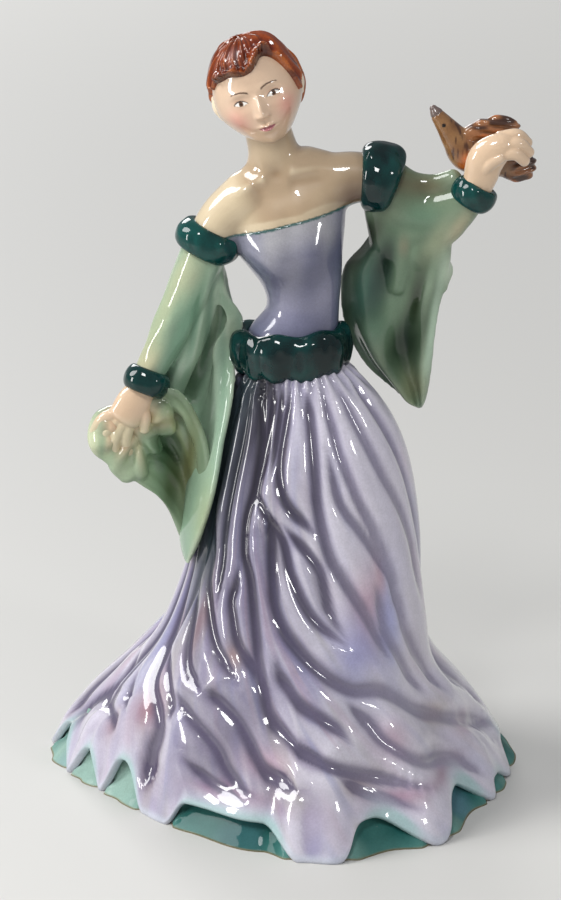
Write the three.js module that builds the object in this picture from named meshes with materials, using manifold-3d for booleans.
// Glazed ceramic figurine of a lady in a long gathered gown, holding a small bird on her left hand.
// Millimetres, +Z up. She faces -Y, and +X is the viewer's right when looking at her face.
// The figure is slip cast and carved in separate members that are luted together before firing.
// Each member, and each glaze colour of a member, is one solid. A fired joint is drawn as a thin gap.
import * as THREE from 'three';
import { mergeVertices } from 'three/addons/utils/BufferGeometryUtils.js';
import Module from 'manifold-3d';

const wasm = await Module();
wasm.setup();

// Gaps left at the fired joints, and the size of the slivers cleared from their edges
const seam = 0.3;
const sliver = 0.05;
const hemLapGap = 0.8;

// Gown: the height of its waist seam, the least wall of the hollow casting and the lip of its hem
const waistSeam = 124.3;
const skirtWall = 3;
const hemLip = 2.3;
const hollowBelowSeam = 11.3;
const skirtAxisAtWaist = 4;
const deepestFold = 5;

// Underskirt ring and the disc that closes the casting
const footWidth = 7;
const underskirtWall = 3.4;
const hemShadow = 0.6;
const discThickness = 3;
const discRecess = 1.2;
const discClearance = 0.8;
const ventRadius = 3.5;

// Sash and the puffed bands on the arms
const sashRise = 5.6;
const sashStandOut = 2.9;
const sashHalfWidth = 13.8;
const sashHalfDepth = 11.6;
const sashCentre = new THREE.Vector3(2.9, 0, waistSeam + 1.3);
const armRadius = 6.2;
const wristRadius = 4;
const bandFit = 0.6;
const armbandPuff = 2.5;
const rightArmbandHeight = 4.1;
const leftArmbandHeight = 5.2;
const wristbandPuff = 1.7;
const wristbandHeight = 3.5;

// Sizes of the head, and how far it leans towards her right shoulder
const headHalfWidth = 11.9;
const headHalfDepth = 12.3;
const headHalfHeight = 14.0;
const headLean = 20;
const hairThickness = 1.5;
const fringeRadius = 1.7;

// Finger and cloth thicknesses
const fingerRadius = 1.35;
const drapeThickness = 4.6;
const heldClothThickness = 3.6;

// Places of the main joints of the body. The heights of the body, the arms and the cloth on them are
// all measured from the waist seam.
const headCentre = new THREE.Vector3(-5.8, -1, waistSeam + 70.7);
const rightWrist = new THREE.Vector3(-36.1, -8, waistSeam - 6.7);
const leftWrist = new THREE.Vector3(51.6, -8, waistSeam + 44.3);
const rightArmbandCentre = new THREE.Vector3(-19.4, -1, waistSeam + 30.6);
const leftArmbandCentre = new THREE.Vector3(26.6, -1, waistSeam + 47.9);

// Neckline: a plane across the chest, given by its height above the waist seam and its tilt
const necklineRise = 36.9;
const necklineTilt = 14.4;

const glaze = {
  lilac: { color: 0xa39cc4, roughness: 0.12, metalness: 0 },
  teal: { color: 0x0d4a4a, roughness: 0.1, metalness: 0 },
  turquoise: { color: 0x5fa39a, roughness: 0.12, metalness: 0 },
  celadon: { color: 0x9db79a, roughness: 0.12, metalness: 0 },
  skin: { color: 0xe3d2ae, roughness: 0.14, metalness: 0 },
  auburn: { color: 0x7a2f14, roughness: 0.14, metalness: 0 },
  feather: { color: 0xa9744a, roughness: 0.16, metalness: 0 },
  beak: { color: 0x231a18, roughness: 0.14, metalness: 0 },
  biscuit: { color: 0xe6e2d8, roughness: 0.6, metalness: 0 },
};

const degrees = THREE.MathUtils.degToRad;
const { smoothstep, lerp } = THREE.MathUtils;

function bump(x, centre, halfWidth) {
  const d = (x - centre) / halfWidth;
  return Math.exp(-d * d);
}

// The difference of two angles in degrees, from -180 to 180
function turn(a, b) {
  return ((a - b + 540) % 360 + 360) % 360 - 180;
}

// A closed surface wrapped round a pole. place(angle, row) puts each point: the angle is in degrees,
// anticlockwise about the pole, and row runs from 0 at the lower pole to 1 at the upper one.
function ball(columns, rows, place) {
  const geometry = new THREE.SphereGeometry(1, columns, rows);
  const { uv, position } = geometry.attributes;
  for (let i = 0; i < position.count; i += 1) {
    const p = place(uv.getX(i) * 360, uv.getY(i));
    position.setXYZ(i, p.x, p.y, p.z);
  }
  return closed(geometry);
}

// A closed ring. place(angle, side) puts each point: side is 0 outside, 90 on top, 180 inside, 270 below.
function ring(columns, sides, place) {
  const geometry = new THREE.TorusGeometry(2, 1, sides, columns);
  const { uv, position } = geometry.attributes;
  for (let i = 0; i < position.count; i += 1) {
    const p = place(uv.getX(i) * 360, uv.getY(i) * 360);
    position.setXYZ(i, p.x, p.y, p.z);
  }
  return closed(geometry);
}

function closed(geometry) {
  geometry.deleteAttribute('normal');
  geometry.deleteAttribute('uv');
  return mergeVertices(geometry, 1e-4);
}

function solid(geometry) {
  return new wasm.Manifold(new wasm.Mesh({
    numProp: 3,
    vertProperties: new Float32Array(geometry.attributes.position.array),
    triVerts: new Uint32Array(geometry.index.array),
  }));
}

// The largest body's surface, without the slivers that cutting leaves
function surface(body) {
  const pieces = body.simplify(sliver).decompose().sort((a, b) => b.volume() - a.volume());
  const mesh = pieces[0].getMesh();
  const geometry = new THREE.BufferGeometry();
  geometry.setAttribute('position', new THREE.BufferAttribute(mesh.vertProperties, 3));
  geometry.setIndex(new THREE.BufferAttribute(mesh.triVerts, 1));
  return geometry;
}

// The same surface moved out along its normals, to cut a seat with a gap round it
function grown(geometry, gap = seam) {
  const shape = geometry.clone();
  shape.computeVertexNormals();
  const { position, normal } = shape.attributes;
  for (let i = 0; i < position.count; i += 1) {
    position.setXYZ(
      i,
      position.getX(i) + normal.getX(i) * gap,
      position.getY(i) + normal.getY(i) * gap,
      position.getZ(i) + normal.getZ(i) * gap,
    );
  }
  return shape;
}

function cut(geometry, ...neighbours) {
  let body = solid(geometry);
  for (const neighbour of neighbours) body = body.subtract(solid(grown(neighbour)));
  return surface(body);
}

function join(...geometries) {
  return surface(geometries.map(solid).reduce((a, b) => a.add(b)));
}

// A limb, roll or finger: an oval section swept along a spine, with rounded ends.
// Each station is [x, y, height above the waist seam, half size across the view, half size in depth].
function limb(stations, columns, rows, ripple = () => 0) {
  const centres = stations.map(([x, y, z]) => new THREE.Vector3(x, y, waistSeam + z));
  const spine = new THREE.CatmullRomCurve3(centres);
  const size = new THREE.CatmullRomCurve3(stations.map((s) => new THREE.Vector3(s[3], s[4], 0)));
  const capRows = 2;
  return ball(columns, rows, (angle, row) => {
    const step = Math.round(row * rows);
    const fromEnd = Math.min(step, rows - step);
    const along = THREE.MathUtils.clamp((step - capRows) / (rows - 2 * capRows), 0, 1);
    const round = fromEnd >= capRows ? 1 : Math.sin((fromEnd / capRows) * Math.PI / 2);
    const axis = spine.getTangent(along);
    const deep = new THREE.Vector3(0, 1, 0).addScaledVector(axis, -axis.y).normalize();
    const across = new THREE.Vector3().crossVectors(deep, axis);
    const half = size.getPoint(along);
    const swell = 1 + ripple(angle, along);
    const capReach = 0.8 * Math.min(half.x, half.y);
    const end = (along < 0.5 ? -capReach : capReach) * Math.sqrt(Math.max(0, 1 - round * round));
    return spine.getPoint(along)
      .addScaledVector(axis, end)
      .addScaledVector(across, Math.cos(degrees(angle)) * half.x * round * swell)
      .addScaledVector(deep, Math.sin(degrees(angle)) * half.y * round * swell);
  });
}

// A hanging panel: a sheet lofted through edge curves that lie side by side from left to right.
// Each edge is a list of points from its top to its bottom. fold(across, down) moves the sheet
// forward. across is 0 at the left edge and 1 at the right one.
function panel(edges, thickness, columns, rows, fold) {
  const lifted = (edge) => edge.map(([x, y, z]) => new THREE.Vector3(x, y, waistSeam + z));
  const curves = edges.map((edge) => new THREE.CatmullRomCurve3(lifted(edge)));
  const vertical = new THREE.Vector3(0, 0, 1);
  return ball(columns, rows, (angle, row) => {
    const down = 1 - row;
    const atPole = row === 0 || row === 1;
    const share = angle <= 180 ? 1 - angle / 180 : (angle - 180) / 180;
    const across = atPole ? 0.5 : share;
    const section = new THREE.CatmullRomCurve3(curves.map((curve) => curve.getPoint(down)));
    const forward = new THREE.Vector3().crossVectors(section.getTangent(across), vertical).normalize();
    const edge = Math.sqrt(Math.max(0, 1 - Math.abs(2 * across - 1) ** 4));
    const ends = Math.sin((Math.PI / 2) * Math.min(1, row * 8 + 0.1, down * 8 + 0.1));
    const half = atPole ? 0 : (thickness / 2) * edge * ends;
    const onBack = angle > 0 && angle < 180;
    const offset = fold(across, down) * ends + (onBack ? -half : half);
    return section.getPoint(across).addScaledVector(forward, offset);
  });
}

// SKIRT
const skirtColumns = 72;
const skirtRows = 19;
const lapTop = 0.85;
const fallPerRise = 1 / 132;

// Four guide curves give the reach from the axis and the height as a share of the waist seam's,
// from the waist to the hem.
function guide(points) {
  const places = points.map(([reach, z]) => new THREE.Vector3(reach, 0, z));
  return new THREE.CatmullRomCurve3(places, false, 'catmullrom', 0.5);
}
const skirtGuides = {
  right: guide([
    [13.5, 0.973], [24, 0.901], [32, 0.78], [37, 0.603], [39.5, 0.418], [43, 0.282], [54, 0.161], [66, 0],
  ]),
  left: guide([
    [12.5, 0.973], [19, 0.885], [25.5, 0.684], [29.5, 0.499],
    [37, 0.338], [48.5, 0.229], [58.5, 0.137], [66, 0],
  ]),
  front: guide([
    [11, 0.973], [17, 0.893], [25, 0.748], [31.5, 0.587], [38, 0.426], [45, 0.29], [54, 0.145], [62, 0],
  ]),
  back: guide([
    [12, 0.973], [19, 0.893], [28, 0.748], [36, 0.587], [42, 0.426], [49, 0.29], [59, 0.145], [67, 0],
  ]),
};

// Hem: feet that reach the ground and arches between them, as [angle, reach on the ground, rise of the edge]
const hemStops = [
  [-179.5, 61, 0.8], [-173, 57, 10.5], [-165, 53, 0.8], [-155, 50, 13], [-142, 48.6, 0.8], [-131, 49, 0.8],
  [-121, 49.4, 8.5], [-95, 55.5, 8.5], [-85, 62.5, 0.8], [-76, 65, 0.8], [-62, 62, 9.8], [-49, 67, 0.8],
  [-28, 60.5, 8.5], [-18, 63.6, 0.8], [-10, 64.8, 4.5], [-2, 66, 0.8], [12, 69.5, 7.5], [28, 71.5, 0.8],
  [46, 71, 7], [64, 69.5, 0.8], [84, 67, 7.5], [103, 68, 0.8], [122, 67.5, 7], [139, 69, 0.8],
  [153, 69.5, 7.5], [162, 70, 0.8], [172, 66.5, 12],
];

function hemAt(angle) {
  const count = hemStops.length;
  for (let i = 0; i < count; i += 1) {
    const from = hemStops[i];
    const to = hemStops[(i + 1) % count];
    const span = (to[0] - from[0] + 360) % 360;
    const into = (angle - from[0] + 720) % 360;
    if (into <= span) {
      const share = 0.5 - 0.5 * Math.cos((Math.PI * into) / span);
      const toTop = to[2] > from[2] ? share : 1 - share;
      const foot = Math.min(from[2], to[2]);
      const top = Math.max(from[2], to[2]);
      return { reach: lerp(from[1], to[1], share), rise: lerp(top, foot, (1 - toTop) ** 1.5) };
    }
  }
  return { reach: hemStops[0][1], rise: hemStops[0][2] };
}

// A point of the skirt before its folds are carved, at an angle and a share of its fall
function plainPoint(angle, fall, inset = 0) {
  const c = Math.cos(degrees(angle));
  const s = Math.sin(degrees(angle));
  const side = (c > 0 ? skirtGuides.right : skirtGuides.left).getPoint(fall);
  const face = (s > 0 ? skirtGuides.back : skirtGuides.front).getPoint(fall);
  const lowest = lerp(s > 0 ? 67 : 62, 66, c * c);
  const flare = 1 + (hemAt(angle).reach / lowest - 1) * smoothstep(fall, 0.55, 1);
  const r = Math.max(0, lerp(face.x, side.x, c * c) * flare - inset);
  const z = waistSeam * lerp(face.z, side.z, c * c);
  return new THREE.Vector3(skirtAxisAtWaist * (1 - fall) + r * c, r * s, z);
}

// The direction out of the cloth there
function outOfCloth(angle, fall) {
  const step = 0.004;
  const around = plainPoint(angle + 0.5, fall).sub(plainPoint(angle - 0.5, fall));
  const down = plainPoint(angle, Math.min(fall + step, 1)).sub(plainPoint(angle, Math.max(fall - step, 0)));
  return down.cross(around).normalize();
}

// Folds carved in the front, as [depth, half width, [angle, share of the fall], ...] along each of them
const frontFolds = [
  [3.4, 3, [-132, 0.03], [-117, 0.2], [-118, 0.34], [-110, 0.46], [-99, 0.66], [-82, 0.79], [-44, 0.9]],
  [2.8, 2.8, [-116, 0.03], [-112, 0.23], [-114, 0.29], [-94, 0.38], [-88, 0.45], [-61, 0.59]],
  [3, 3.2, [-94, 0.04], [-95, 0.13], [-98, 0.26], [-95, 0.3], [-82, 0.35], [-72, 0.39]],
  [2.6, 2.8, [-97, 0.34], [-79, 0.41], [-74, 0.44], [-72, 0.48], [-61, 0.6]],
  [3.6, 3.4, [-105, 0.34], [-98, 0.46], [-84, 0.59], [-70, 0.66], [-51, 0.69], [-20, 0.82], [15, 0.94]],
  [3.2, 3.2, [-95, 0.58], [-88, 0.67], [-83, 0.7], [-76, 0.73], [-66, 0.8]],
  [3.2, 3.2, [-122, 0.66], [-108, 0.74], [-103, 0.78], [-96, 0.83], [-82, 0.87]],
  [3, 3.2, [-146, 0.3], [-142, 0.38], [-134, 0.48], [-128, 0.53], [-116, 0.61], [-106, 0.67]],
  [3.6, 3.6, [-168, 0.2], [-163, 0.55], [-159, 0.61], [-146, 0.72], [-142, 0.79], [-143, 0.95]],
  [3, 2.6, [-181, 0.66], [-184, 0.72], [-182, 0.78], [-167, 0.82], [-162, 0.86]],
  [2.8, 3.2, [-138, 0.66], [-134, 0.7], [-120, 0.78], [-114, 0.81], [-104, 0.88], [-94, 0.91]],
  [2.6, 3.2, [-76, 0.06], [-74, 0.26], [-74, 0.32], [-68, 0.42], [-62, 0.47], [-42, 0.65]],
  [2.4, 2.8, [-65, 0.2], [-62, 0.31], [-58, 0.35], [-43, 0.44], [-36, 0.5]],
  [2.2, 2.8, [-61, 0.04], [-58, 0.17], [-54, 0.28], [-50, 0.33], [-36, 0.48], [-31, 0.56]],
  [2.2, 3, [-44, 0.05], [-34, 0.29], [-28, 0.34], [-22, 0.4], [-14, 0.56]],
  [2.6, 3, [-38, 0.46], [-32, 0.53], [-30, 0.58], [-16, 0.71], [-8, 0.8]],
  [3.4, 3.2, [-68, 0.69], [-60, 0.74], [-50, 0.82], [-43, 0.85], [-22, 0.92], [-16, 0.96]],
  [2.6, 2.6, [-150, 0.03], [-134, 0.2], [-133, 0.27], [-132, 0.36], [-127, 0.5]],
  [2.6, 2.6, [-160, 0.05], [-150, 0.2], [-152, 0.45], [-157, 0.56], [-140, 0.69], [-137, 0.76]],
  [2.4, 2.6, [-24, 0.05], [-20, 0.2], [-12, 0.35], [2, 0.68], [8, 0.84]],
];

// Folds of the back, which follow the sweep towards her left
const backFoldCount = 11;
const backFolds = Array.from({ length: backFoldCount }, (_, i) => {
  const start = 4 + (178 * i) / backFoldCount;
  const [from, to] = i % 3 === 1 ? [0.28, 0.97] : [0.04, i % 3 === 2 ? 0.66 : 0.92];
  const stops = [0, 0.25, 0.5, 0.75, 1].map((share) => {
    const fall = lerp(from, to, share);
    return [start + 5 * Math.sin(fall * 7 + i * 2.3) + 13 * fall, fall];
  });
  return [2.4, 3.4, ...stops];
});

const foldSteps = 24;
function traceFold([depth, halfWidth, ...stops]) {
  const path = guide(stops);
  const places = Array.from({ length: foldSteps + 1 }, (_, i) => {
    const { x, z } = path.getPoint(i / foldSteps);
    return plainPoint(x, z);
  });
  const lines = places.slice(1).map((place, i) => new THREE.Line3(places[i], place));
  const length = lines.reduce((sum, line) => sum + line.distance(), 0);
  const taperLength = 10;
  return { depth, halfWidth, lines, taper: Math.min(0.45, taperLength / length) };
}
const folds = [...frontFolds, ...backFolds].map(traceFold);

// How deep the folds are carved at a point of the skirt: a groove in the middle of a wider hollow.
// They run out towards the edge of the hem.
function foldDepth(angle, fall) {
  const point = plainPoint(angle, fall);
  const spot = new THREE.Vector3();
  let depth = 0;
  for (const fold of folds) {
    let beside = Infinity;
    let along = 0;
    fold.lines.forEach((line, i) => {
      const share = line.closestPointToPointParameter(point, true);
      const apart = line.at(share, spot).distanceTo(point);
      if (apart < beside) {
        beside = apart;
        along = (i + share) / foldSteps;
      }
    });
    if (beside > 5 * fold.halfWidth) continue;
    const fade = smoothstep(along, -0.02, fold.taper) * (1 - smoothstep(along, 1 - fold.taper, 1.02));
    const half = lerp(0.55, 0.95, fall) * lerp(0.6, 1, fade) * fold.halfWidth;
    const cross = 0.5 * bump(beside, 0, 0.85 * half) + 0.55 * bump(beside, 0, 2.3 * half);
    depth += fold.depth * fade * lerp(0.7, 1.1, fall) * cross;
  }
  const aboveEdge = (1 - fall) / fallPerRise - hemAt(angle).rise;
  return deepestFold * Math.tanh(depth / deepestFold) * lerp(0.45, 1, smoothstep(aboveEdge, 0, 9));
}

// A point of the folded skirt, set in towards its axis by an inset
function skirtPoint(angle, fall, inset = 0) {
  return plainPoint(angle, fall, inset).addScaledVector(outOfCloth(angle, fall), -foldDepth(angle, fall));
}

// The columns of the skirt's surface lean with the sweep
function threadAngle(angle, fall) {
  const upperLag = 12;
  const lowerLag = 58 * bump(turn(angle, -30), 0, 62);
  return angle - upperLag * (1 - fall) - lowerLag * (1 - smoothstep(fall, 0.25, 1.1));
}

function hemFall(angle) {
  return 1 - hemAt(angle).rise * fallPerRise;
}

function makeSkirt() {
  const lapShares = [0, 0.33, 0.66, 1];
  const upperFalls = [0.82, 0.66, 0.5, 0.2];
  const inner = 1 + lapShares.length + upperFalls.length;
  const outer = skirtRows + 2;
  const rows = outer + inner;
  return ball(skirtColumns, rows, (angle, row) => {
    const step = rows - Math.round(row * rows);
    if (step === 0) return new THREE.Vector3(skirtAxisAtWaist, 0, waistSeam);
    if (step === 1) {
      const p = plainPoint(threadAngle(angle, 0), 0, 0.8);
      return new THREE.Vector3(p.x, p.y, waistSeam);
    }
    if (step <= outer) {
      const share = (step - 2) / skirtRows;
      const hemAngle = threadAngle(angle, 1);
      const fall = share * hemFall(hemAngle);
      return skirtPoint(threadAngle(angle, fall), fall);
    }
    const inside = step - outer - 1;
    if (inside < lapShares.length) {
      const hemAngle = threadAngle(angle, 1);
      const fall = lerp(hemFall(hemAngle), lapTop, lapShares[inside]);
      return skirtPoint(threadAngle(angle, fall), fall, hemLip);
    }
    if (inside < lapShares.length + upperFalls.length) {
      const fall = upperFalls[inside - lapShares.length];
      const turned = threadAngle(angle, fall);
      return plainPoint(turned, fall).addScaledVector(outOfCloth(turned, fall), -deepestFold - skirtWall);
    }
    return new THREE.Vector3(skirtAxisAtWaist, 0, waistSeam - hollowBelowSeam);
  });
}

// UNDERSKIRT
// The ring below the arched hem. It follows the skirt, set back inside its lip, down to the ground.
const ringColumns = 52;

function makeUnderskirt() {
  const top = 0.865;
  const falls = [1, 0.965, 0.92, top];
  const sides = falls.length + 3;
  const inset = hemLip + hemLapGap;
  return ring(ringColumns, sides, (angle, side) => {
    const step = Math.round((side / 360) * sides) % sides;
    if (step < falls.length) {
      const fall = falls[step];
      const turned = threadAngle(angle, fall);
      if (fall === 1) return plainPoint(turned, 1, hemAt(turned).rise > 2 ? hemShadow : hemLip);
      const belowHem = hemAt(turned).rise - (1 - fall) / fallPerRise;
      return skirtPoint(turned, fall, lerp(inset, hemShadow, smoothstep(belowHem, 2, 8)));
    }
    if (step === falls.length) return skirtPoint(threadAngle(angle, top), top, inset + underskirtWall);
    const foot = plainPoint(threadAngle(angle, 1), 1, footWidth);
    if (step === falls.length + 1) foot.z = discRecess + discThickness + 2;
    return foot;
  });
}

function makeBaseDisc() {
  return ring(ringColumns, 4, (angle, side) => {
    const step = Math.round(side / 90) % 4;
    const outside = step === 0 || step === 3;
    const rim = plainPoint(threadAngle(angle, 1), 1, footWidth + discClearance);
    const turned = degrees(angle);
    const hole = new THREE.Vector3(ventRadius * Math.cos(turned), ventRadius * Math.sin(turned), 0);
    const p = outside ? rim : hole;
    p.z = step === 0 || step === 1 ? discRecess + discThickness : discRecess;
    return p;
  });
}

// TORSO
// Oval sections from the waist to the root of the neck, as
// [x, y, height above the waist seam, half width, half depth, lean of the section towards her right]
const torsoSections = [
  [3.4, 0, 0.3, 12.9, 10.8, 0],
  [3.8, 0, 6.2, 12.2, 10.2, 1],
  [6.2, 0.2, 12.7, 10.0, 8.8, 3],
  [6.0, -0.2, 19.2, 10.8, 9.6, 7],
  [4.2, -0.6, 25.7, 13.0, 10.8, 10],
  [2.6, -0.4, 31.7, 15.4, 11.2, 13],
  [2.0, 0, 36.7, 16.6, 10.4, 14.4],
  [2.4, 0.6, 41.2, 18.8, 9.4, 15],
  [2.2, 1.0, 45.5, 20.0, 7.8, 16],
  [0.0, 0.8, 49.9, 15.0, 6.6, 17],
  [-0.8, 0.6, 53.7, 8.6, 5.8, 17],
];
const bustForward = 2.4;

function torsoPoint(angle, share, outside = 0) {
  const last = torsoSections.length - 1;
  const at = THREE.MathUtils.clamp(share, 0, 1) * last;
  const low = Math.min(Math.floor(at), last - 1);
  const before = torsoSections[Math.max(low - 1, 0)];
  const after = torsoSections[Math.min(low + 2, last)];
  const f = at - low;
  const [x, y, z, width, depth, lean] = torsoSections[low].map((a, i) => {
    const b = torsoSections[low + 1][i];
    const bend = (b - before[i]) / 2;
    const bendOn = (after[i] - a) / 2;
    return (2 * f ** 3 - 3 * f * f + 1) * a + (f ** 3 - 2 * f * f + f) * bend
      + (3 * f * f - 2 * f ** 3) * b + (f ** 3 - f * f) * bendOn;
  });
  const bust = bump(turn(angle, -62), 0, 24) + bump(turn(angle, -118), 0, 24);
  const forward = bustForward * bust * bump(z, 27.2, 5.5);
  const across = (width + outside) * Math.cos(degrees(angle));
  return new THREE.Vector3(
    x + across * Math.cos(degrees(lean)),
    y + (depth + forward + outside) * Math.sin(degrees(angle)),
    waistSeam + z + across * Math.sin(degrees(lean)),
  );
}

function makeTorso() {
  const rows = 16;
  return ball(22, rows, (angle, row) => {
    if (row === 0 || row === 1) {
      const [x, y, z] = torsoSections[row * (torsoSections.length - 1)];
      return new THREE.Vector3(x, y, waistSeam + z);
    }
    return torsoPoint(angle, (row * rows - 1) / (rows - 2));
  });
}

// A thick slab whose lower face is the plane of the neckline, raised by a gap
function neckSlab(gap) {
  const size = 80;
  const slab = new THREE.BoxGeometry(size, size, size);
  slab.translate(0, 0, size / 2 + gap);
  slab.rotateY(-degrees(necklineTilt));
  slab.translate(torsoSections[6][0], 0, waistSeam + necklineRise);
  return closed(slab);
}

// ARMS
const rightArm = [
  [-8, 0, 42.2, 8.0, 7.2], [-14.6, -0.5, 36.9, 7.0, 6.6], [-19.2, -1, 30.7, armRadius, armRadius],
];
const leftArm = [
  [10, 0.4, 45.2, 8.6, 7], [19, -0.3, 47.7, 7.2, 6.6], [26.4, -1, 47.9, armRadius, armRadius],
];
const neck = [
  [0.4, 1, 43.7, 12.5, 6.4], [-0.8, 0.8, 50.3, 9.2, 6.2], [-2.0, 0.4, 55.7, 6.7, 6.3],
  [-3.6, -0.4, 62.2, 6.2, 6.2],
];

function makeShoulders(torso) {
  const chest = surface(solid(torso).intersect(solid(neckSlab(seam))));
  return join(chest, limb(rightArm, 10, 6), limb(leftArm, 10, 6), limb(neck, 10, 8));
}

function makeBodice(torso) {
  return surface(solid(torso).subtract(solid(neckSlab(0))));
}

// A gathered band: a puffed ring round a limb, whose axis points along the limb
function band(centre, axis, inside, puff, height, pleats) {
  const up = axis.clone().normalize();
  const deep = new THREE.Vector3(0, 1, 0).addScaledVector(up, -up.y).normalize();
  const across = new THREE.Vector3().crossVectors(deep, up);
  const gather = 0.08;
  return ring(18, 6, (angle, side) => {
    const swell = 1 + gather * Math.cos(degrees(angle * pleats));
    const out = inside + Math.max(0, puff * swell * (0.25 + 0.75 * Math.cos(degrees(side))));
    const rise = 1 + 0.5 * gather * Math.sin(degrees(angle * (pleats - 2)));
    return centre.clone()
      .addScaledVector(across, out * Math.cos(degrees(angle)))
      .addScaledVector(deep, out * Math.sin(degrees(angle)))
      .addScaledVector(up, height * rise * Math.sin(degrees(side)));
  });
}

function makeArmband(centre, axis, height) {
  return band(centre, axis, armRadius + bandFit, armbandPuff, height, 7);
}

function makeWristband(centre, axis) {
  return band(centre, axis, wristRadius + bandFit, wristbandPuff, wristbandHeight, 6);
}

const rightUpperAxis = new THREE.Vector3(0.5, 0, 1);
const leftUpperAxis = new THREE.Vector3(-1, 0, 0.16);
const rightWristAxis = new THREE.Vector3(0.4, 0.25, 1);
const leftWristAxis = new THREE.Vector3(-0.75, 0.1, -1);

// SLEEVES
const rightSleeve = [
  [-19.8, -1, 29.9, 6.1, 6.1], [-23.4, -1.6, 20.7, 6.2, 6.2], [-27.6, -3.2, 11.2, 5.6, 5.6],
  [-32.2, -5.6, 1.7, 4.9, 4.9], [-36, -8, -6.3, wristRadius, wristRadius],
];
const leftSleeve = [
  [27.2, -1, 47.6, 6.3, 6.1], [31.4, -1.6, 43.3, 8.0, 5.8], [36.2, -2.6, 38.3, 8.6, 5.2],
  [41.6, -4.2, 37.1, 8.0, 5.0], [46.6, -6.2, 40.1, 6.0, 4.6], [51.2, -8, 44, wristRadius, wristRadius],
];
// Cloth stretched above the elbow from the armband to the wrist
const leftWeb = [
  [29, -1, 48.9, 4.4, 3.6], [35, -2.6, 44.3, 3.6, 3.0], [41.2, -4.4, 42.5, 3.4, 2.8],
  [46.6, -6.6, 44.3, 3.2, 2.8],
];

// Cloth hanging from her right arm. Each row is a height above the waist seam and the places [x, y]
// where the cloth passes:
// under the arm, behind, beside the skirt and in front of it.
const rightDrapeRows = [
  [26.2, [-21.5, 0], [-19.5, 2.5], [-17, 1.5], [-16.2, -2]],
  [17.7, [-25.5, 0], [-20.8, 3.5], [-17, 2], [-15.4, -1.5]],
  [8.7, [-28.6, 0.5], [-21.5, 5], [-14.5, 3], [-10.5, 0]],
  [-0.3, [-31, 1.5], [-22.5, 6.5], [-15.5, 3.5], [-12.5, -2.5]],
  [-10.3, [-32.8, 3], [-24, 7.5], [-16.4, 1], [-10.2, -9]],
  [-22.3, [-32.8, 4], [-25, 8], [-19.4, 0], [-12.4, -12]],
  [-36.3, [-30.5, 4], [-26, 7.5], [-22, -1], [-16.4, -12]],
  [-48.3, [-28, 3.5], [-26.4, 6], [-24.6, 0], [-21.6, -7]],
  [-58.7, [-26.4, 1], [-26.2, 2], [-25.9, 1], [-25.8, 0]],
];

// Cloth hanging from her left arm: beside the body, in the middle and at its free edge
const leftDrapeRows = [
  [41.7, [27.6, -1], [36, -4], [46, -6]],
  [35.2, [25.6, 0.5], [34.6, -3.4], [46.4, -5.4]],
  [28.7, [21.8, 2], [32.4, -1.6], [44.2, -3.4]],
  [22.2, [16.8, 3.6], [31, 0], [47, -1.6]],
  [13.7, [15.8, 5], [30, 1.6], [44, 0.4]],
  [3.7, [17.4, 6.4], [30, 2], [42.4, 1]],
  [-6.3, [23, 6.6], [33, 3], [41.6, 1.6]],
  [-13.8, [32, 5], [36.6, 3], [40.6, 2]],
  [-17.7, [37.8, 2.6], [38.4, 2.6], [39.2, 2.4]],
];

// The edge curves of a panel, from its rows
function edgesOf(rows) {
  return rows[0].slice(1).map((_, k) => rows.map((row) => [row[k + 1][0], row[k + 1][1], row[0]]));
}

function makeRightDrape() {
  const hollows = (across, down) => {
    const grow = Math.sin(Math.PI * Math.min(1, down * 1.6));
    return 1.7 * grow * Math.cos(across * 14 + down * 2.4);
  };
  return panel(edgesOf(rightDrapeRows), drapeThickness, 20, 12, hollows);
}

function makeLeftDrape() {
  const waves = (across, down) => {
    const grow = smoothstep(down, 0.05, 0.35);
    return -2.4 * grow * Math.cos(across * 12 - down * 3.2 + 1.2);
  };
  return panel(edgesOf(leftDrapeRows), drapeThickness, 22, 12, waves);
}

// HELD CLOTH
// The mouth of her right sleeve, gathered in the hand and fanned out to the drape.
// Its lower edge, its hollow middle and its upper edge run from the hand to the tip.
const heldEdges = [
  [
    [-45, -8, -25.3], [-43, -8, -32.3], [-39, -7.5, -36.1], [-34.4, -6.5, -39.8], [-30.8, -5, -44.8],
    [-28.4, -3.5, -50.3], [-26.4, -1, -56.5],
  ],
  [
    [-44.5, -8, -21.3], [-38, -5, -25.3], [-31.5, -1, -26.3], [-27.5, 1.5, -32.3], [-25.5, 1.5, -40.3],
    [-25.2, 0, -48.3], [-26, -1, -56.5],
  ],
  [
    [-44, -8, -17.3], [-37, -9, -10.9], [-27.5, -10.5, -7.9], [-20.6, -12, -18.3],
    [-18.8, -12.5, -30.3], [-21.4, -9.5, -44.3], [-25.6, -2.5, -56.5],
  ],
];
const gathers = [
  [
    [-42.5, -6.6, -16.3, 3.6, 3.8], [-47.4, -7, -19.9, 4.6, 4.8], [-47.4, -7, -24.9, 4.4, 4.6],
    [-43, -6.6, -28.7, 3.4, 3.8],
  ],
  [[-42, -7.4, -23.3, 3.4, 3.6], [-43.4, -7, -29.9, 3.6, 3.6], [-41.4, -7, -33.3, 3, 3.2]],
  [[-39, -6.6, -27.3, 3, 3], [-38.6, -6.4, -32.9, 2.8, 2.8]],
];

function makeHeldCloth() {
  const ribs = (across, down) => 1.0 * Math.cos(across * 20) * (1 - smoothstep(down, 0.35, 0.8));
  const fan = panel(heldEdges, heldClothThickness, 20, 10, ribs);
  return join(fan, ...gathers.map((g) => limb(g, 8, 5)));
}

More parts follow.
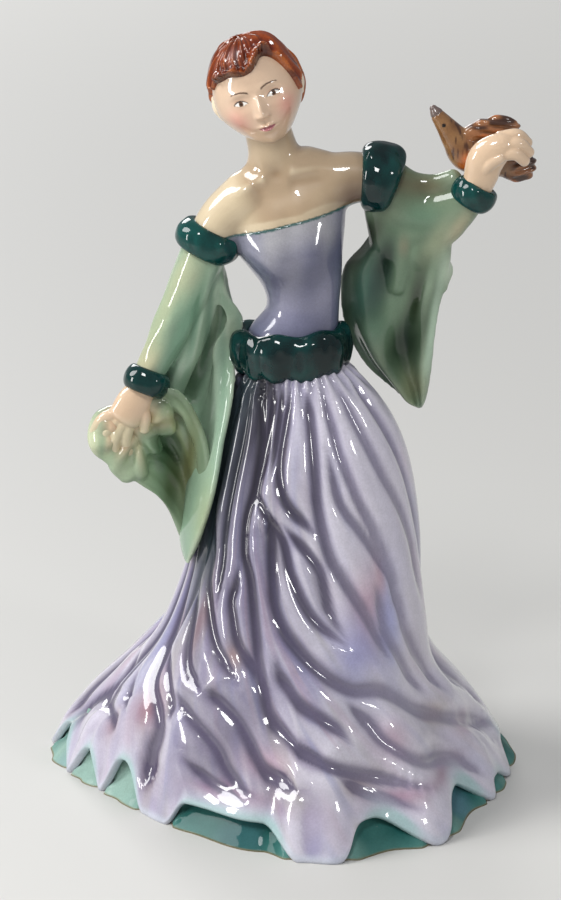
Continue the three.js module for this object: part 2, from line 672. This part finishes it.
// HANDS
const rightPalm = [
  [-36.6, -8.4, -7.9, 3.6, 3.4], [-39.4, -9.6, -12.1, 4.8, 2.9], [-42.0, -10.6, -16.1, 4.6, 2.5],
];
const rightFingers = [
  [[-44.4, -10.8, -14.9], [-48.6, -12.4, -16.7], [-49.4, -11.8, -20.1]],
  [[-43.8, -11, -16.9], [-47.2, -13, -19.9], [-47.4, -12.4, -23.5]],
  [[-42.6, -11.2, -18.1], [-44.8, -13, -22.3], [-44.2, -12.2, -25.9]],
  [[-41, -11, -18.3], [-42, -12.6, -22.5], [-41, -11.8, -25.7]],
];
const rightThumb = [[-38, -10, -12.3], [-37.2, -12.2, -16.5], [-38, -12.8, -20.3]];
const leftPalm = [
  [52, -8.2, 45.1, 3.6, 3.4], [53.6, -9.2, 49.9, 4.4, 3.0], [56.0, -10, 54.9, 4.6, 2.6],
  [58.2, -10, 58.1, 3.8, 2.4],
];
const leftFingers = [
  [[57.0, -9.6, 59.3], [61.4, -9.6, 61.3], [66.4, -8.2, 59.3]],
  [[58.0, -10.4, 57.9], [62.4, -11, 59.3], [67.4, -9.4, 57.1]],
  [[58.4, -10.8, 56.1], [62.6, -11.6, 56.9], [67.0, -10, 54.9]],
];
const leftThumb = [[53.4, -10.4, 50.3], [55.4, -12.4, 54.1], [58.2, -12.6, 56.7]];

function finger(points) {
  const taper = [1.12, 1, 0.86];
  return limb(points.map((p, i) => [...p, fingerRadius * taper[i], fingerRadius * taper[i]]), 6, 6);
}

function makeHand(palm, fingers, thumb) {
  return join(limb(palm, 8, 6), ...fingers.map(finger), finger(thumb));
}

// BIRD
const birdBody = [
  [42.0, -3, 64.9, 2.0, 2.0], [44.2, -3, 62.1, 2.8, 2.6], [46.8, -3, 58.7, 3.9, 3.4],
  [49.8, -2.6, 55.3, 5.2, 4.6],
  [54.8, -1.6, 53.9, 5.6, 5.0], [59.6, -1.0, 52.9, 4.8, 4.6],
];
const birdBeak = [[42.8, -3, 63.9, 1.9, 1.9], [41.4, -3, 65.9, 1.7, 1.7], [40.6, -3, 67.1, 1.0, 1.0]];
const birdWing = [
  [48.6, -3.6, 59.1, 2.2, 2.2], [53, -3.6, 60.9, 3.0, 2.2], [58, -3.2, 61.7, 3.4, 2.2],
  [62.0, -2.8, 60.7, 3.2, 2.0],
];
const birdTail = [[58, -1.6, 53.3, 4.0, 3.6], [63.2, -1.4, 51.5, 4.6, 3.4], [66.4, -1.2, 50.9, 3.4, 2.4]];

// HEAD
// Points of the head are set in its own frame: lon is the angle round it from the middle of the face,
// positive to the viewer's right, and lat is the height from -90 at the chin to 90 at the crown.
const headUp = new THREE.Vector3(-Math.sin(degrees(headLean)), 0, Math.cos(degrees(headLean)));
const headSide = new THREE.Vector3(headUp.z, 0, -headUp.x);
const headBack = new THREE.Vector3(0, 1, 0);

function headPoint(lon, lat, lift = 0) {
  const up = Math.sin(degrees(lat));
  const out = Math.cos(degrees(lat));
  const facing = Math.cos(degrees(lon));
  const jaw = 1 - 0.26 * smoothstep(-up, 0.1, 1);
  const side = (headHalfWidth * jaw + lift) * out * Math.sin(degrees(lon));
  const flat = 1 - 0.1 * Math.max(0, facing) * bump(up, 0.1, 0.6);
  const nose = 2.5 * bump(lon, 0, 9) * smoothstep(-up, -0.1, 0.28) * (1 - smoothstep(-up, 0.3, 0.42));
  const sockets = -0.9 * (bump(lon, 24, 12) + bump(lon, -24, 12)) * bump(up, 0.02, 0.14);
  const brow = 0.5 * bump(lon, 0, 36) * bump(up, 0.2, 0.12);
  const mouth = 0.7 * bump(lon, 0, 18) * bump(up, -0.53, 0.1);
  const chin = 1.3 * bump(lon, 0, 26) * bump(up, -0.84, 0.16);
  const face = lift > 0 ? 0 : nose + sockets + brow + mouth + chin;
  const depth = (headHalfDepth * flat * (facing > 0 ? 1 : 1.02) + lift) * out;
  const forward = depth * facing + face;
  return headCentre.clone()
    .addScaledVector(headUp, (headHalfHeight + lift) * up)
    .addScaledVector(headSide, side)
    .addScaledVector(headBack, -forward);
}

// The edge of the hair, as the lat of the hairline round the head
function hairline(lon) {
  const temple = 30 + 16 * bump(lon, 34, 22) + 4 * bump(lon, -30, 16);
  const sideburn = -40 * bump(lon, 66, 11) - 16 * bump(lon, -72, 10);
  const ears = 14 * bump(Math.abs(lon), 92, 9);
  const nape = -62 * smoothstep(Math.abs(lon), 84, 125);
  return temple + sideburn + ears + nape;
}

// Columns lie closer together over the face
function faceSpread(angle) {
  return angle - 22 * Math.sin(degrees(angle));
}

function makeHead() {
  const skull = ball(26, 13, (angle, row) => {
    const lon = faceSpread(angle - 180) % 360;
    return headPoint(row === 0 || row === 1 ? 0 : lon, row * 180 - 90);
  });
  const ear = (side) => limb([
    [side * 11.0, 0.4, 2.2, 1.4, 2.0], [side * 11.4, 0.6, -0.4, 1.5, 2.2], [side * 10.6, 0, -3.2, 1.0, 1.4],
  ].map(([x, y, z, a, b]) => {
    const p = headCentre.clone().addScaledVector(headSide, x).addScaledVector(headUp, z);
    return [p.x, p.y + y, p.z - waistSeam, a, b];
  }), 8, 7);
  return join(skull, ear(1), ear(-1));
}

function makeHair() {
  const cap = ball(24, 11, (angle, row) => {
    const lon = ((angle + 180) % 360) - 180;
    const lat = row * 180 - 90;
    const over = smoothstep(lat - hairline(lon), -5, 3);
    const strands = 0.3 * Math.cos(degrees(lon * 6 + lat * 3)) * over * Math.cos(degrees(lat));
    const crown = 0.5 * smoothstep(lat, 40, 80);
    const lift = lerp(-2.2, hairThickness + crown, over) + strands;
    return headPoint(row === 0 || row === 1 ? 0 : lon, lat, lift);
  });
  const fringe = [[-48, 36], [-32, 30], [-14, 32], [0, 26], [14, 33], [24, 42], [38, 46]];
  const lobe = fringe.map(([lon, lat]) => {
    const p = headPoint(lon, lat, 0.7);
    return [p.x, p.y, p.z - waistSeam, fringeRadius, fringeRadius];
  });
  return join(cap, limb(lobe.slice(0, 4), 7, 7), limb(lobe.slice(3), 7, 7));
}

// SASH
// A gathered band round the waist seam, with a scalloped lower edge. Its inside follows the body.
function makeSash() {
  const pleats = 11;
  const scallop = (angle) => 0.5 + 0.5 * Math.cos(degrees(angle * pleats + 60));
  const against = {
    135: (angle) => torsoPoint(angle, 0.09, 0.5),
    180: (angle) => torsoPoint(angle, 0.02, 1.3),
    225: (angle) => plainPoint(angle, 0, -0.6),
    270: (angle) => plainPoint(angle, 0.02 + 0.014 * scallop(angle), -0.8),
  };
  return ring(3 * pleats, 8, (angle, side) => {
    const step = Math.round(side) % 360;
    if (against[step]) return against[step](angle);
    const out = sashStandOut * (1 + 0.14 * Math.cos(degrees(angle * pleats))) * Math.cos(degrees(step));
    const c = Math.cos(degrees(angle));
    const s = Math.sin(degrees(angle));
    const hang = step > 270 ? scallop(angle) : 0;
    return new THREE.Vector3(
      sashCentre.x + (sashHalfWidth + out) * c,
      (sashHalfDepth + out) * s,
      sashCentre.z + 0.7 * c + sashRise * Math.sin(degrees(step)) - hang,
    );
  });
}

const figurine = new THREE.Group();
const whole = {};

// Adds a piece, with a seat and a gap cut for each earlier piece that it touches
function add(name, finish, shape, touching = []) {
  const geometry = touching.length ? cut(shape, ...touching.map((other) => whole[other])) : shape.clone();
  geometry.computeVertexNormals();
  const mesh = new THREE.Mesh(geometry, new THREE.MeshStandardMaterial({ ...finish, flatShading: true }));
  mesh.name = name;
  figurine.add(mesh);
  whole[name] = shape;
}

const torso = makeTorso();
add('skirt', glaze.lilac, makeSkirt());
add('underskirt', glaze.turquoise, makeUnderskirt(), ['skirt']);
add('base_disc', glaze.biscuit, makeBaseDisc());
add('shoulders', glaze.skin, makeShoulders(torso));
add('bodice', glaze.lilac, makeBodice(torso), ['shoulders']);
add('waist_sash', glaze.teal, makeSash());
add('head', glaze.skin, makeHead(), ['shoulders']);
add('hair', glaze.auburn, makeHair(), ['head']);
add('right_sleeve', glaze.celadon, limb(rightSleeve, 12, 10), ['shoulders']);
add('left_sleeve', glaze.celadon, join(limb(leftSleeve, 12, 10), limb(leftWeb, 8, 7)), ['shoulders']);
add(
  'right_armband',
  glaze.teal,
  makeArmband(rightArmbandCentre, rightUpperAxis, rightArmbandHeight),
  ['shoulders', 'right_sleeve', 'bodice'],
);
add(
  'left_armband',
  glaze.teal,
  makeArmband(leftArmbandCentre, leftUpperAxis, leftArmbandHeight),
  ['shoulders', 'left_sleeve', 'bodice'],
);
const rightNeighbours = ['skirt', 'bodice', 'waist_sash', 'right_sleeve', 'right_armband', 'shoulders'];
const leftNeighbours = ['skirt', 'bodice', 'waist_sash', 'left_sleeve', 'left_armband', 'shoulders'];
add('right_drape', glaze.celadon, makeRightDrape(), rightNeighbours);
add('left_drape', glaze.celadon, makeLeftDrape(), leftNeighbours);
add('right_hand', glaze.skin, makeHand(rightPalm, rightFingers, rightThumb), ['right_sleeve']);
add('left_hand', glaze.skin, makeHand(leftPalm, leftFingers, leftThumb), ['left_sleeve']);
const rightCuffNeighbours = ['right_sleeve', 'right_hand', 'right_drape'];
const leftCuffNeighbours = ['left_sleeve', 'left_hand', 'left_drape'];
add('right_wristband', glaze.teal, makeWristband(rightWrist, rightWristAxis), rightCuffNeighbours);
add('left_wristband', glaze.teal, makeWristband(leftWrist, leftWristAxis), leftCuffNeighbours);
add('held_cloth', glaze.celadon, makeHeldCloth(), [...rightCuffNeighbours, 'skirt', 'right_wristband']);
add('bird_body', glaze.feather, limb(birdBody, 11, 11), ['left_hand', 'left_sleeve', 'left_wristband']);
add('bird_beak', glaze.beak, limb(birdBeak, 8, 6), ['bird_body']);
add('bird_wing', glaze.feather, limb(birdWing, 9, 8), ['bird_body', 'left_hand']);
add('bird_tail', glaze.feather, limb(birdTail, 9, 8), ['bird_body', 'left_hand', 'bird_wing']);

// The origin is the middle of the figure's box, on the ground
const box = new THREE.Box3().setFromObject(figurine);
const middle = box.getCenter(new THREE.Vector3());
figurine.position.set(-middle.x, -middle.y, -box.min.z);

export default figurine;
